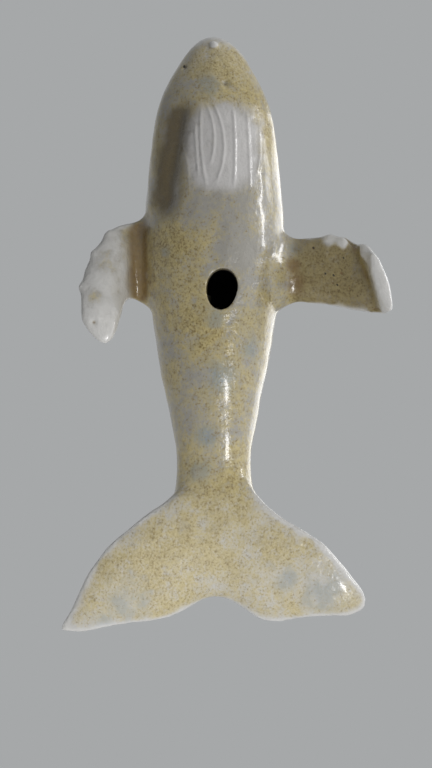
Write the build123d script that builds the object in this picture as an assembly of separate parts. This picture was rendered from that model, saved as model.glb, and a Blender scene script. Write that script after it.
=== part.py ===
from build123d import *
import os
from math import atan2, cos, degrees, pi, radians, sin, sqrt
from typing import NamedTuple

# A hollow, hand-built ceramic humpback whale that lies on its belly, head along +X, its left along +Y.
# It is worked out behind the nose: x is minus the distance from the nose, and z = 0 is the board it dried on.

# Body lines in mm: distance behind the nose, full width, heights of the back and the belly
NOSE_HEIGHT = 11.0
CHIN_AT = 11.6
CHIN_WIDTH = 22.2
CHIN_BACK = 21.8
CHIN_BELLY = 3.6
THROAT_AT = 20.4
THROAT_WIDTH = 28.5
THROAT_BACK = 25.6
THROAT_BELLY = 1.6
GIRTH_AT = 45.0
GIRTH_WIDTH = 33.0
GIRTH_BACK = 31.3
GIRTH_BELLY = 0.0
WAIST_AT = 70.6
WAIST_WIDTH = 28.0
WAIST_BACK = 28.4
WAIST_BELLY = 0.9
STOCK_AT = 97.5
STOCK_WIDTH = 17.8
STOCK_BACK = 18.6
STOCK_BELLY = 2.3
NECK_END_AT = 115.6
NECK_END_WIDTH = 22.0
NECK_END_BACK = 8.6
NECK_END_BELLY = 1.4
FLANK_SHARE = 0.48
NOSE_RING_SHARES = (0.08, 0.35)
CHEEK_RING_SHARE = 0.8

# Pots, cavity and seams
WALL = 4.5
CAVITY_END_AT = 90.6
BODY_SEAM_AT = 72.6
TAIL_SEAM_AT = 101.6
SEAM_COIL_WIDTH = 5.0
SEAM_COIL_DEPTH = 1.8
SEAM_CORE_OVERRUN = 1.0
REST_FLAT = 0.3

# Belly hole: an egg with its broad end forward
HOLE_AT = 59.0
HOLE_OFFSET = 1.7
HOLE_WIDTH = 7.2
HOLE_FRONT = 4.2
HOLE_BACK = 5.4
HOLE_TURN = 8.0

# Throat pleats and the small marks of the head
PLEAT_COUNT = 7
PLEAT_PITCH = 2.3
PLEAT_FRONT_AT = 15.6
PLEAT_END_AT = 35.1
PLEAT_OFFSET = 1.9
PLEAT_RADIUS = 0.75
PLEAT_DEPTH = 0.55
PLEAT_FAN = 0.92
DIMPLE_AT = 9.6
DIMPLE_OFFSET = 2.1
DIMPLE_RADIUS = 2.0
DIMPLE_DEPTH = 0.7
EYE_AT = 6.4
EYE_ROUND = 62.0
EYE_RADIUS = 0.55
LIP_FRONT_AT = 3.6
LIP_END_AT = 24.0
LIP_FRONT_ROUND = 66.0
LIP_END_ROUND = 80.0
LIP_RADIUS = 0.8
LIP_DEPTH = 0.45
CHIN_KNOB_AT = 3.4
CHIN_KNOB_RADIUS = 1.0
HEAD_KNOB_RADIUS = 1.1
HEAD_KNOB_FIRST_AT = 4.4
HEAD_KNOB_PITCH = 4.6
HEAD_KNOB_ROW_COUNT = 3
HEAD_KNOB_ROW_ROUND = 32.0

# Blowholes
BLOWHOLE_AT = 25.6
BLOWHOLE_SPACING = 2.2
BLOWHOLE_RADIUS = 0.6
BLOWHOLE_DEPTH = 1.4
RIDGE_BEND = 2.6
RIDGE_RADIUS = 1.1
RIDGE_SWEEP = 200.0

# Dorsal fin
DORSAL_AT = 82.6
DORSAL_LENGTH = 12.0
DORSAL_THICKNESS = 4.4
DORSAL_HEIGHT = 6.0
DORSAL_RAKE = 6.5
DORSAL_FRONT_BULGE = 1.2
DORSAL_BACK_HOLLOW = 1.0
DORSAL_ROUND = 1.6
DORSAL_SLOPE_REACH = 1.0

# Collars of coil round the roots of the fins
COLLAR_FLARE = 2.4
COLLAR_RISE = 2.8
COLLAR_LIP = 0.35
COLLAR_SINK = 3.0
DORSAL_COLLAR_RISE = 1.5

# Pellets on the fins' leading edges: their size, how deep they sit and where, counted in ribs from the root
LEFT_KNOB_RADIUS = 2.0
LEFT_KNOB_SINK = 1.1
LEFT_KNOB_PLACES = (2.8, 3.4, 4.6)
RIGHT_KNOB_RADIUS = 1.4
RIGHT_KNOB_SINK = 0.8
RIGHT_KNOB_PLACES = (3.0, 3.8, 5.4)


class Lines(NamedTuple):
    """The body's size at one distance behind the nose."""

    half_width: float
    flank: float
    up: float
    down: float


class Rib(NamedTuple):
    """One cross section of a fin: its middle, its chord along the body, its thickness, its leading edge's lift."""

    behind: float
    out: float
    height: float
    chord: float
    thickness: float
    pitch: float = 0.0


# The left fin curls down at its end and the right one sweeps back
FIN_ROOT_HEIGHT = 12.2
LEFT_FIN_ROOT_AT = 54.8
LEFT_FIN_ROOT_CHORD = 15.4
LEFT_FIN = (
    Rib(LEFT_FIN_ROOT_AT, 11.0, FIN_ROOT_HEIGHT, LEFT_FIN_ROOT_CHORD, 7.4),
    Rib(LEFT_FIN_ROOT_AT, 17.0, FIN_ROOT_HEIGHT, LEFT_FIN_ROOT_CHORD, 6.8),
    Rib(LEFT_FIN_ROOT_AT, 22.5, 12.0, 15.9, 6.0),
    Rib(55.3, 28.5, 10.9, 16.2, 5.3),
    Rib(56.8, 33.4, 8.6, 15.8, 4.8, -3.0),
    Rib(58.0, 36.3, 5.6, 15.6, 4.3, -9.0),
    Rib(58.5, 37.5, 2.8, 15.2, 3.8, -15.0),
    Rib(58.6, 37.7, -0.6, 14.4, 3.2, -18.0),
)
RIGHT_FIN_ROOT_AT = 52.6
RIGHT_FIN_ROOT_CHORD = 18.5
RIGHT_FIN = (
    Rib(RIGHT_FIN_ROOT_AT, 10.0, FIN_ROOT_HEIGHT, RIGHT_FIN_ROOT_CHORD, 7.4),
    Rib(RIGHT_FIN_ROOT_AT, 15.5, FIN_ROOT_HEIGHT, RIGHT_FIN_ROOT_CHORD, 6.8),
    Rib(52.0, 19.5, 11.2, 18.6, 6.2, 3.0),
    Rib(56.2, 23.3, 8.2, 21.4, 5.6, 11.0),
    Rib(62.2, 26.6, 4.7, 22.0, 5.0, 18.0),
    Rib(63.4, 29.2, 3.3, 13.4, 4.0, 18.0),
    Rib(63.6, 30.3, 2.8, 5.0, 1.8, 18.0),
)

# Tail flukes, from the right tip to the left one
FLUKES = (
    Rib(137.2, -34.8, 3.6, 2.0, 1.6),
    Rib(135.2, -32.4, 3.0, 6.0, 3.2),
    Rib(130.5, -28.0, 2.2, 14.4, 4.0),
    Rib(125.7, -21.0, 1.9, 21.0, 4.8),
    Rib(122.3, -13.0, 2.6, 26.4, 5.8),
    Rib(119.0, -7.0, 3.8, 29.0, 6.6),
    Rib(116.2, 0.5, 4.4, 28.4, 7.0),
    Rib(119.0, 8.0, 3.8, 30.0, 6.6),
    Rib(123.2, 14.0, 2.6, 25.4, 5.8),
    Rib(124.8, 21.0, 1.9, 19.8, 4.8),
    Rib(127.8, 28.0, 2.2, 13.6, 4.1),
    Rib(130.1, 32.6, 3.0, 7.4, 3.4),
    Rib(131.2, 34.6, 3.4, 3.2, 2.0),
)

# Evenness of the rounds
RING_POINTS = 16
RING_STEP = 8.0


def smooth_value(knots, at):
    """Value at a distance on the smooth curve through knots of (distance, value)."""
    last = len(knots) - 1

    def slope(index):
        before = knots[max(index - 1, 0)]
        after = knots[min(index + 1, last)]
        return (after[1] - before[1]) / (after[0] - before[0])

    index = max(i for i in range(last) if i == 0 or knots[i][0] <= at)
    start, end = knots[index], knots[index + 1]
    span = end[0] - start[0]
    t = (at - start[0]) / span
    ahead = (1 + 2 * t) * (1 - t) ** 2 * start[1] + t * (1 - t) ** 2 * span * slope(index)
    behind = t * t * (3 - 2 * t) * end[1] + t * t * (t - 1) * span * slope(index + 1)
    return ahead + behind


def lines_at(at):
    """Body lines at a distance behind the nose; squares are smoothed so that the nose comes out blunt."""
    stations = (
        (CHIN_AT, CHIN_WIDTH, CHIN_BACK, CHIN_BELLY),
        (THROAT_AT, THROAT_WIDTH, THROAT_BACK, THROAT_BELLY),
        (GIRTH_AT, GIRTH_WIDTH, GIRTH_BACK, GIRTH_BELLY),
        (WAIST_AT, WAIST_WIDTH, WAIST_BACK, WAIST_BELLY),
        (STOCK_AT, STOCK_WIDTH, STOCK_BACK, STOCK_BELLY),
        (NECK_END_AT, NECK_END_WIDTH, NECK_END_BACK, NECK_END_BELLY),
    )
    widths = [(0.0, 0.0)]
    flanks = [(0.0, NOSE_HEIGHT)]
    ups = [(0.0, 0.0)]
    downs = [(0.0, 0.0)]
    for station, width, back, belly in stations:
        flank = belly + FLANK_SHARE * (back - belly)
        widths.append((station, (width / 2) ** 2))
        flanks.append((station, flank))
        ups.append((station, (back - flank) ** 2))
        downs.append((station, (flank - belly) ** 2))
    return Lines(
        sqrt(smooth_value(widths, at)),
        smooth_value(flanks, at),
        sqrt(smooth_value(ups, at)),
        sqrt(smooth_value(downs, at)),
    )


def skin_point(at, around, inset=0.0):
    """Point on the body at a distance behind the nose, around from the belly: 90 degrees is the left flank."""
    lines = lines_at(at)
    angle = radians(around)
    reach = lines.down if cos(angle) > 0 else lines.up
    side = (lines.half_width - inset) * sin(angle)
    return Vector(-at, side, lines.flank - (reach - inset) * cos(angle))


def ring(at, inset=0.0):
    """Cross section of the body, its outline drawn in by an inset."""
    points = [skin_point(at, 180 + 360 * step / RING_POINTS, inset) for step in range(RING_POINTS)]
    return make_face(Spline(*points, periodic=True))


def stations_between(start, end):
    """Evenly spaced distances from start to end, about RING_STEP apart."""
    count = max(2, round((end - start) / RING_STEP))
    return [start + (end - start) * step / count for step in range(count + 1)]


def slab(start, end):
    """All that lies between two distances behind the nose."""
    reach = 4 * GIRTH_WIDTH
    return Pos(-(start + end) / 2, 0, GIRTH_BACK / 2) * Box(end - start, reach, reach)


def body_block():
    """The whole body from the nose to the end of the flukes' neck, solid."""
    blunt = [share * CHIN_AT for share in NOSE_RING_SHARES]
    stations = blunt + stations_between(CHEEK_RING_SHARE * CHIN_AT, NECK_END_AT)
    return loft([Vertex(0, 0, NOSE_HEIGHT)] + [ring(at) for at in stations])


def cavity_block():
    """The hollow that the two pots enclose."""
    front = CHIN_AT - WALL
    stations = stations_between(CHIN_AT, CAVITY_END_AT)
    middle_front = Vertex(-front, 0, lines_at(front).flank)
    end = CAVITY_END_AT + WALL / 2
    middle_end = Vertex(-end, 0, lines_at(end).flank)
    return loft([middle_front] + [ring(at, WALL) for at in stations] + [middle_end])


def seam_coil(body, seam_at):
    """The ring of clay that fills the rabbet over a seam, flush with the skin."""
    start = seam_at - SEAM_COIL_WIDTH / 2
    end = seam_at + SEAM_COIL_WIDTH / 2
    stations = (start - SEAM_CORE_OVERRUN, seam_at, end + SEAM_CORE_OVERRUN)
    core = loft([ring(at, SEAM_COIL_DEPTH) for at in stations])
    return (body & slab(start, end)) - core


def groove(points, radius, depth):
    """A round-ended scratch along the arc through three skin points given as (distance, degrees around)."""
    lifted = [skin_point(at, around, depth - radius) for at, around in points]
    arc = ThreePointArc(*lifted)
    scratch = sweep(Plane(arc @ 0, z_dir=arc % 0) * Circle(radius), path=arc)
    return scratch + [Pos(end) * Sphere(radius) for end in (lifted[0], lifted[-1])]


def pleats():
    """The throat pleats, side by side, a little closer together at the chin."""
    middle_at = (PLEAT_FRONT_AT + PLEAT_END_AT) / 2
    cuts = []
    for index in range(PLEAT_COUNT):
        offset = PLEAT_OFFSET + PLEAT_PITCH * (index - (PLEAT_COUNT - 1) / 2)
        around = offset / lines_at(middle_at).half_width * 180 / pi
        ends_in = abs(index - (PLEAT_COUNT - 1) / 2) / PLEAT_COUNT * PLEAT_PITCH * 2
        points = (
            (PLEAT_FRONT_AT + ends_in, PLEAT_FAN * around),
            (middle_at, around),
            (PLEAT_END_AT - ends_in, around),
        )
        cuts.append(groove(points, PLEAT_RADIUS, PLEAT_DEPTH))
    return cuts


def lip_lines():
    """The line of the mouth on both cheeks."""
    cuts = []
    for side in (1, -1):
        points = (
            (LIP_FRONT_AT, side * LIP_FRONT_ROUND),
            ((LIP_FRONT_AT + LIP_END_AT) / 2, side * (LIP_FRONT_ROUND + LIP_END_ROUND) / 2),
            (LIP_END_AT, side * LIP_END_ROUND),
        )
        cuts.append(groove(points, LIP_RADIUS, LIP_DEPTH))
    return cuts


def head_marks():
    """Eye pits, the dimple under the chin and the two blowholes."""
    marks = [Pos(skin_point(EYE_AT, side * EYE_ROUND)) * Sphere(EYE_RADIUS) for side in (1, -1)]
    dimple_round = DIMPLE_OFFSET / lines_at(DIMPLE_AT).half_width * 180 / pi
    dimple = skin_point(DIMPLE_AT, dimple_round, DIMPLE_DEPTH - DIMPLE_RADIUS)
    marks.append(Pos(dimple) * Sphere(DIMPLE_RADIUS))
    back = skin_point(BLOWHOLE_AT, 180)
    for side in (1, -1):
        mouth = Pos(back.X, side * BLOWHOLE_SPACING / 2, back.Z)
        marks.append(mouth * Cylinder(BLOWHOLE_RADIUS, 2 * BLOWHOLE_DEPTH))
    return marks


def belly_hole():
    """An egg-shaped shaft from under the belly up into the cavity."""
    half = HOLE_WIDTH / 2
    front = EllipticalCenterArc((0, 0), HOLE_FRONT, half, -90, arc_size=180)
    back = EllipticalCenterArc((0, 0), HOLE_BACK, half, 90, arc_size=180)
    egg = make_face([front, back])
    place = Pos(-HOLE_AT, HOLE_OFFSET, -WALL) * Rot(0, 0, HOLE_TURN)
    return place * extrude(egg, lines_at(HOLE_AT).flank + WALL)


def rib_places(ribs, side):
    """Places of a fin's ribs, square to its run outward and down, with the leading edge along their x."""
    points = [Vector(-rib.behind, side * rib.out, rib.height) for rib in ribs]
    places = []
    for index, point in enumerate(points):
        run = points[min(index + 1, len(points) - 1)] - points[max(index - 1, 0)]
        level = Plane(point, x_dir=(1, 0, 0), z_dir=(0, run.Y, run.Z))
        places.append(level * Rot(0, 0, -side * ribs[index].pitch))
    return places


def blade(ribs, side):
    """A fin lofted through its elliptic ribs."""
    places = zip(rib_places(ribs, side), ribs)
    return loft([place * Ellipse(rib.chord / 2, rib.thickness / 2) for place, rib in places])


def collar(root_at, side, chord, thickness):
    """A trumpet of clay round a pectoral fin's root."""
    root = lines_at(root_at).half_width
    levels = (
        (root - COLLAR_SINK, COLLAR_FLARE),
        (root + COLLAR_RISE / 4, COLLAR_FLARE / 2),
        (root + COLLAR_RISE, COLLAR_LIP),
    )
    faces = []
    for out, flare in levels:
        plane = Plane((-root_at, side * out, FIN_ROOT_HEIGHT), x_dir=(1, 0, 0), z_dir=(0, side, 0))
        faces.append(plane * Ellipse(chord / 2 + flare, thickness / 2 + flare))
    return loft(faces)


def pellet(spot, outward, radius):
    """A ball of clay, its pole turned away from what it sits on."""
    return Plane(spot, z_dir=outward) * Sphere(radius)


def knobs_on(ribs, side, radius, sink, counts):
    """Pellets along a fin's leading edge, at places counted in ribs."""
    places = rib_places(ribs, side)
    edges = [(place * Pos(rib.chord / 2 - sink, 0, 0)).position for place, rib in zip(places, ribs)]
    pellets = []
    for count in counts:
        index = int(count)
        spot = edges[index] + (edges[index + 1] - edges[index]) * (count - index)
        pellets.append(pellet(spot, Plane(places[index]).x_dir, radius))
    return pellets


def head_pellet(at, around, radius):
    """A pellet on the skin of the head."""
    spot = skin_point(at, around)
    return pellet(spot, skin_point(at, around, -radius) - spot, radius)


def head_pellets():
    """The pellet at the tip of the chin and three rows on the upper jaw."""
    pellets = [head_pellet(CHIN_KNOB_AT, 0, CHIN_KNOB_RADIUS)]
    for row in (-1, 0, 1):
        for step in range(HEAD_KNOB_ROW_COUNT):
            at = HEAD_KNOB_FIRST_AT + HEAD_KNOB_PITCH * (step + abs(row) / 2)
            pellets.append(head_pellet(at, 180 + row * HEAD_KNOB_ROW_ROUND, HEAD_KNOB_RADIUS))
    return pellets


def ridge():
    """The bent coil ahead of the blowholes."""
    back = skin_point(BLOWHOLE_AT, 180)
    arc = CenterArc((back.X, 0, back.Z), RIDGE_BEND, -RIDGE_SWEEP / 2, RIDGE_SWEEP)
    return sweep(Plane(arc @ 0, z_dir=arc % 0) * Circle(RIDGE_RADIUS), path=arc)


def dorsal_place():
    """Where the dorsal fin stands, turned to the slope of the back."""
    ahead = skin_point(DORSAL_AT - DORSAL_SLOPE_REACH, 180)
    behind = skin_point(DORSAL_AT + DORSAL_SLOPE_REACH, 180)
    slope = degrees(atan2(ahead.Z - behind.Z, ahead.X - behind.X))
    return Pos(skin_point(DORSAL_AT, 180)) * Rot(0, -slope, 0)


def dorsal_fin():
    """The small raked fin on the back, with rounded edges, its foot sunk below the skin."""
    half = DORSAL_LENGTH / 2
    front = Vector(half, 0)
    back = Vector(-half, 0)
    top = Vector(half - DORSAL_LENGTH / 2 - DORSAL_RAKE, DORSAL_HEIGHT)
    sink = Vector(0, -COLLAR_SINK)
    profile = make_face([
        SagittaArc(front, top, -DORSAL_FRONT_BULGE),
        SagittaArc(top, back, DORSAL_BACK_HOLLOW),
        Polyline(back, back + sink, front + sink, front),
    ])
    blank = extrude(Plane.XZ * profile, DORSAL_THICKNESS / 2, both=True)
    sides = [edge for edge in blank.edges() if abs(edge.center().Y) > DORSAL_THICKNESS / 4]
    return dorsal_place() * fillet([edge for edge in sides if edge.center().Z > 0], DORSAL_ROUND)


def dorsal_collar():
    """A low trumpet of clay round the dorsal fin's foot."""
    rims = []
    for rise, flare in ((-COLLAR_SINK, 2 * COLLAR_FLARE), (DORSAL_COLLAR_RISE, COLLAR_LIP)):
        rim = Ellipse(DORSAL_LENGTH / 2 + flare, DORSAL_THICKNESS / 2 + flare)
        rims.append(dorsal_place() * Pos(0, 0, rise) * rim)
    return loft(rims)


def make_nodes():
    """Every piece of clay by name, seated on its neighbours."""
    body = body_block()
    tail_coil = seam_coil(body, TAIL_SEAM_AT)
    neck = (body & slab(TAIL_SEAM_AT, NECK_END_AT)) - tail_coil
    lobes = blade(FLUKES, 1)
    flukes = neck + (lobes - slab(-WALL, TAIL_SEAM_AT) - tail_coil)

    body_coil = seam_coil(body, BODY_SEAM_AT)
    shell = body - cavity_block()
    head = (shell & slab(-WALL, BODY_SEAM_AT)) - [body_coil, belly_hole()]
    head -= pleats() + lip_lines() + head_marks()
    tail = (shell & slab(BODY_SEAM_AT, TAIL_SEAM_AT)) - [body_coil, tail_coil]

    left = blade(LEFT_FIN, 1) - body
    right = blade(RIGHT_FIN, -1) - body
    left_collar = collar(LEFT_FIN_ROOT_AT, 1, LEFT_FIN_ROOT_CHORD, LEFT_FIN[1].thickness) - body - left
    right_collar = collar(RIGHT_FIN_ROOT_AT, -1, RIGHT_FIN_ROOT_CHORD, RIGHT_FIN[1].thickness) - body - right
    left_pellets = knobs_on(LEFT_FIN, 1, LEFT_KNOB_RADIUS, LEFT_KNOB_SINK, LEFT_KNOB_PLACES)
    right_pellets = knobs_on(RIGHT_FIN, -1, RIGHT_KNOB_RADIUS, RIGHT_KNOB_SINK, RIGHT_KNOB_PLACES)

    back_fin = dorsal_fin() - body
    back_collar = dorsal_collar() - body - back_fin
    return {
        "head_pot": head,
        "tail_pot": tail,
        "body_seam_coil": body_coil,
        "tail_flukes": flukes,
        "tail_seam_coil": tail_coil,
        "left_fin": left,
        "right_fin": right,
        "left_fin_coil": left_collar,
        "right_fin_coil": right_collar,
        "left_fin_knobs": Compound([pellet - left for pellet in left_pellets]),
        "right_fin_knobs": Compound([pellet - right for pellet in right_pellets]),
        "head_knobs": Compound([pellet - body for pellet in head_pellets()]),
        "dorsal_fin": back_fin,
        "dorsal_coil": back_collar,
        "blowhole_ridge": ridge() - body,
    }


def main():
    os.makedirs("parts", exist_ok=True)
    nodes = make_nodes()
    board = Plane.XY.offset(REST_FLAT)
    standing = {name: split(node, bisect_by=board, keep=Keep.TOP) for name, node in nodes.items()}
    box = Compound(list(standing.values())).bounding_box()
    to_origin = Pos(-box.center().X, -box.center().Y, -box.min.Z)
    for name, node in standing.items():
        export_step(to_origin * node, f"parts/{name}.step")
    print("nose at x", round(to_origin.position.X, 3), "midline at y", round(to_origin.position.Y, 3))


if __name__ == "__main__":
    main()
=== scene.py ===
import math

import bpy
import numpy as np
from bpy.props import FloatProperty, FloatVectorProperty, IntProperty, PointerProperty
from mathutils import Matrix, Vector, bvhtree, kdtree, noise


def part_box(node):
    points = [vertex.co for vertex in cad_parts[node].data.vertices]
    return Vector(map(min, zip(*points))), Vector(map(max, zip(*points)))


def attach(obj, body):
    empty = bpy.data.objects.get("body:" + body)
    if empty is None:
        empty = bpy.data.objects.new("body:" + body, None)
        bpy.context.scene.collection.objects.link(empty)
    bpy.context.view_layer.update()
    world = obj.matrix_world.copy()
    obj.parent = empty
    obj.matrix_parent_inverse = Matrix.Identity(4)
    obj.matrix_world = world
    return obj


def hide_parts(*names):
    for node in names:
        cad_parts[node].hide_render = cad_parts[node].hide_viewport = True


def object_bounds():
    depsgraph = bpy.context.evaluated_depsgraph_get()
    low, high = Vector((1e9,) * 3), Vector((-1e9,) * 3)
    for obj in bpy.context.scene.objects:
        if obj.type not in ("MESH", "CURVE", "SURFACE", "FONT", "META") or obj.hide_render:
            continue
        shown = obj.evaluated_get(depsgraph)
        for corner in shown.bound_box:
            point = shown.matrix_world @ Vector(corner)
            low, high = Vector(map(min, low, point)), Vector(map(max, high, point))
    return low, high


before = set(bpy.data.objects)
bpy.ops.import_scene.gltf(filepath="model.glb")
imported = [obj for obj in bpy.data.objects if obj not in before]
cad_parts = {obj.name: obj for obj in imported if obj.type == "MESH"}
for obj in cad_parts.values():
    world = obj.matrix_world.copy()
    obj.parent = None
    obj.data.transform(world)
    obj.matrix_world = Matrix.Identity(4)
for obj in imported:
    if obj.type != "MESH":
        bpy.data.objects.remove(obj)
CAD_LOW, CAD_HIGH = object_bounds()

bl_info = {
    "name": "Speckled whale figurine",
    "version": (1, 0, 0),
    "blender": (4, 5, 0),
    "location": "View3D > Sidebar > Whale",
    "description": "Models and glazes a small hand-built ceramic whale",
    "category": "Object",
}

# The whale's own measures, in millimetres: behind the nose, out from the midline, up from the board
MM = 0.001
NOSE_X = CAD_HIGH.x / MM
POT_LOW, POT_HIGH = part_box("head_pot")
MIDLINE_Y = (POT_LOW.y + POT_HIGH.y) / 2 / MM
FLANK_OUT = (POT_HIGH.y - POT_LOW.y) / 2 / MM
SEAM_AT = NOSE_X - POT_LOW.x / MM
FLUKES_AT = NOSE_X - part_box("tail_flukes")[1].x / MM
BODY_AXIS_HEIGHT = 12.5

# The hollow inside the body: its ends, walls and floor, its roof, which falls towards the tail, and
# how far off a wall the look across to the other wall starts
CAVITY_FRONT = 6.0
CAVITY_BACK = 94.0
CAVITY_WALL = 2.5
CAVITY_FLOOR = 2.6
CAVITY_ROOF = 28.5
CAVITY_ROOF_FROM = 60.0
CAVITY_ROOF_FALL = 0.25
CAVITY_LOOK_START = 0.2

# The planes that part the skin into pieces, and the sides that they open to
FIN_CUT_OUT = FLANK_OUT + 3.6
FIN_CUT_BEHIND = 92.0
DORSAL_CUT_AT = 88.6
DORSAL_CUT_UP = 24.1
DORSAL_CUT_SLOPE = 0.40
NOSEWARD = Vector((1, 0, 0))
LEFTWARD = Vector((0, 1, 0))
DORSAL_UP = Vector((-DORSAL_CUT_SLOPE, 0, 1)).normalized()

# The crease under the pectoral fins' roots: how far out of the flank, its half widths and each side's share
ROOT_CREASE_OUT = 0.6
ROOT_CREASE_INNER = 2.0
ROOT_CREASE_OUTER = 4.2
ROOT_CREASES = ((1, "left_fin_coil", 0.35), (-1, "right_fin_coil", 1.0))
ROOT_CREASE_OVER = 2.0
ROOT_CREASE_RISE = 4.0
ROOT_LIFT_ALL = 0.78
ROOT_LIFT_UNDERSIDE = 0.22

# How many times longer than the luted joints some clay is smoothed, and how near to a joint in full
HEAD_MELT = 3
TAIL_MELT = 3
BOARD_MELT = 8
ROOT_MELT = 4
ROOT_MELT_SHARE = 3.0
MELT_FULL = 0.35

# Where the clay is smoothed more: low and high ends of each smooth rise
CHIN_FRONT = (6.0, 7.5)
CHIN_BACK = (15.0, 18.0)
CHIN_SIDE = (5.0, 7.0)
CHIN_OUT = 2.0
BOARD_LEVEL = (1.0, 4.0)
FLUKES_RISE = (FLUKES_AT - 2.0, FLUKES_AT + 4.0)
# The flukes turn paler from here, partly painted light
FLUKES_PALE_RISE = (FLUKES_AT - 2.0, FLUKES_AT + 10.0)
FIN_RISE = (FLANK_OUT + 1.0, FLANK_OUT + 4.0)
FIN_SHARE = 0.6
LEFT_FIN_END_RISE = (FLANK_OUT + 15.5, FLANK_OUT + 19.0)
TAIL_CORNER_AT = FLUKES_AT + 2.0
TAIL_CORNER_ALONG = (4.0, 9.0)
TAIL_CORNER_ACROSS = (12.0, 16.0)

# The underside of the head, which has the finest faces
FINE_FRONT = 5.0
FINE_BACK = 40.0
FINE_MIDDLE = 1.0
FINE_OUT = 11.0
FINE_UP = 8.0
FINE_FACING = 0.25

# The finer of the two kinds of hand-formed unevenness
FINE_LUMP_WIDTH = 3.6
FINE_LUMP_SHARE = 0.4

# The sharpest bend of the skin that is shaded smooth, in degrees
SMOOTH_ANGLE = 50

# The photograph: its size, the distance to its camera and the scale at one millimetre from it
PHOTO_WIDTH = 432
PHOTO_HEIGHT = 768
PHOTO_FOCUS = 1000.0
EYE_BEHIND = 81.6
EYE_OUT = 0.48
EYE_DEPTH = 224.8
BELLY_LEVEL = 3.0

# The belly hole: its middle in the CAD model and as a pixel of the photograph, its size, wall and brim
HOLE_BEHIND = 59.6
HOLE_OUT = 1.7
HOLE_PIXEL = (222.5, 289.3, 1.0)
HOLE_SHRINK = 0.04
HOLE_HALF_LENGTH = 4.8
HOLE_HALF_WIDTH = 3.6
HOLE_SLIDE = (5.0, 11.0)
HOLE_WALL_REACH = 1.2
HOLE_WALL_UP = 2.2
HOLE_BRIM = (1.1, 1.8)
HOLE_BRIM_UP = 4.0
HOLE_BRIM_SHARE = 0.75

# The raised lines between the throat pleats, as pixels across and down the photograph
PLEAT_LINES = (
    ((181, 146), (188, 170), (189, 190)),
    ((195, 130), (197, 160), (198, 172)),
    ((201, 113), (202, 160), (206, 186)),
    ((208, 109), (214, 138), (212, 160)),
    ((215, 109), (224, 146), (214, 189)),
    ((233, 112), (235, 150), (234, 182)),
    ((247, 115), (249, 145), (250, 186)),
    ((260, 128), (261, 148), (259, 166)),
)
PLEAT_START = (-2.0, 0.5)
PLEAT_END = (-0.5, 2.5)
PLEAT_REACH = 1.15
PLEAT_SINK = 0.25

# The pale throat: its middle and half widths in pixels, how square it is, how soft its edge and how high
THROAT_MIDDLE = (222, 147)
THROAT_REACH = (47, 52)
THROAT_SQUARENESS = 2.6
THROAT_EDGE = (0.45, 1.15)
THROAT_UP = 7.5
SOFT_THROAT_REACH = 1.6
THROAT_BLUR_ROUNDS = 6

# Where the glaze pooled blue, as pixels across and down with the pool's reach in millimetres
BLUE_POOLS = (
    (210, 84, 3.6),
    (224, 84, 1.3),
    (294, 250, 2.2),
    (128, 603, 6.0),
    (108, 622, 4.0),
    (325, 592, 6.0),
    (285, 580, 4.0),
    (200, 470, 3.4),
    (205, 438, 3.0),
    (222, 376, 4.6),
    (250, 350, 3.2),
    (214, 318, 2.6),
    (166, 250, 2.0),
)

# Where the right fin's white glaze lets the yellow through: pixels and reach in millimetres
YELLOW_PATCHES = (
    (105, 262, 3.6),
    (112, 240, 2.6),
    (92, 296, 2.4),
    (127, 236, 2.6),
)
YELLOW_PATCH_SHARE = 0.6

# Where the glaze is yellower (above nought) or greyer (below): pixels, reach in millimetres and strength
TINTS = (
    (228, 66, 7.0, 0.12),
    (240, 88, 5.0, 0.12),
    (224, 222, 9.0, -0.2),
    (243, 250, 7.0, -0.18),
    (178, 242, 5.5, 0.16),
    (218, 345, 6.5, 0.16),
    (276, 140, 5.0, 0.15),
    (188, 560, 13.0, 0.03),
    (275, 585, 10.0, -0.08),
)

# Where painted shade darkens the left fin's root: pixels across and down, and reach in millimetres
ROOT_SHADES = (
    (295, 286, 3.4),
    (293, 266, 2.4),
)

# The troughs between the throat and the jaws: pixels along each, half width in millimetres, share of depth
JAW_TROUGHS = (
    (((179, 104), (171, 150), (164, 212)), 2.7, 1.0),
    (((262, 112), (272, 150), (275, 200)), 1.8, 0.3),
)
JAW_START = (-2.5, 2.5)
JAW_END = (-4.0, 4.0)
# How much wider than its trough the painted shade beside the throat reaches
JAW_SHADE_WIDTH = 1.3

# The inner edge of the left fin's rolled rim, white partly from thin glaze and partly as painted highlight,
# from front to back, with its trough and white in pixels
RIM_LINE = ((358, 246), (379, 312))
RIM_TROUGH_BEFORE = 4.0
RIM_TROUGH_WIDTH = 6.0
RIM_WHITE = (-2.0, 5.0)

# Small pits, and one raised lip of a pit: pixels across and down, then reach and depth in millimetres
PITS = (
    (226, 82.5, 1.05, 0.95),
    (221.5, 84.5, 0.9, -0.25),
    (184, 66.6, 0.5, 0.8),
    (94, 323, 0.7, 0.35),
    (341, 274, 0.45, 0.3),
    (332, 283, 0.4, 0.25),
    (313, 248, 0.5, 0.3),
    (349, 289, 0.4, 0.25),
)

# Soft lumps along the left fin's front edge: pixels across and down, then reach and height in millimetres
LUMPS = (
    (329, 243, 2.3, 0.9),
    (345, 246, 2.0, 0.8),
    (361, 257, 2.2, 0.8),
    (327, 256, 1.8, 0.5),
    (330, 266, 1.6, 0.3),
)

# Painted shade in small pits, as dark dots: pixels across and down, and reach in millimetres
PIT_SHADES = (
    (184, 66.6, 0.42),
    (333, 276, 0.35),
    (313, 248, 0.35),
    (325, 273, 0.3),
    (344, 258, 0.3),
    (337, 284, 0.3),
)

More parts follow.
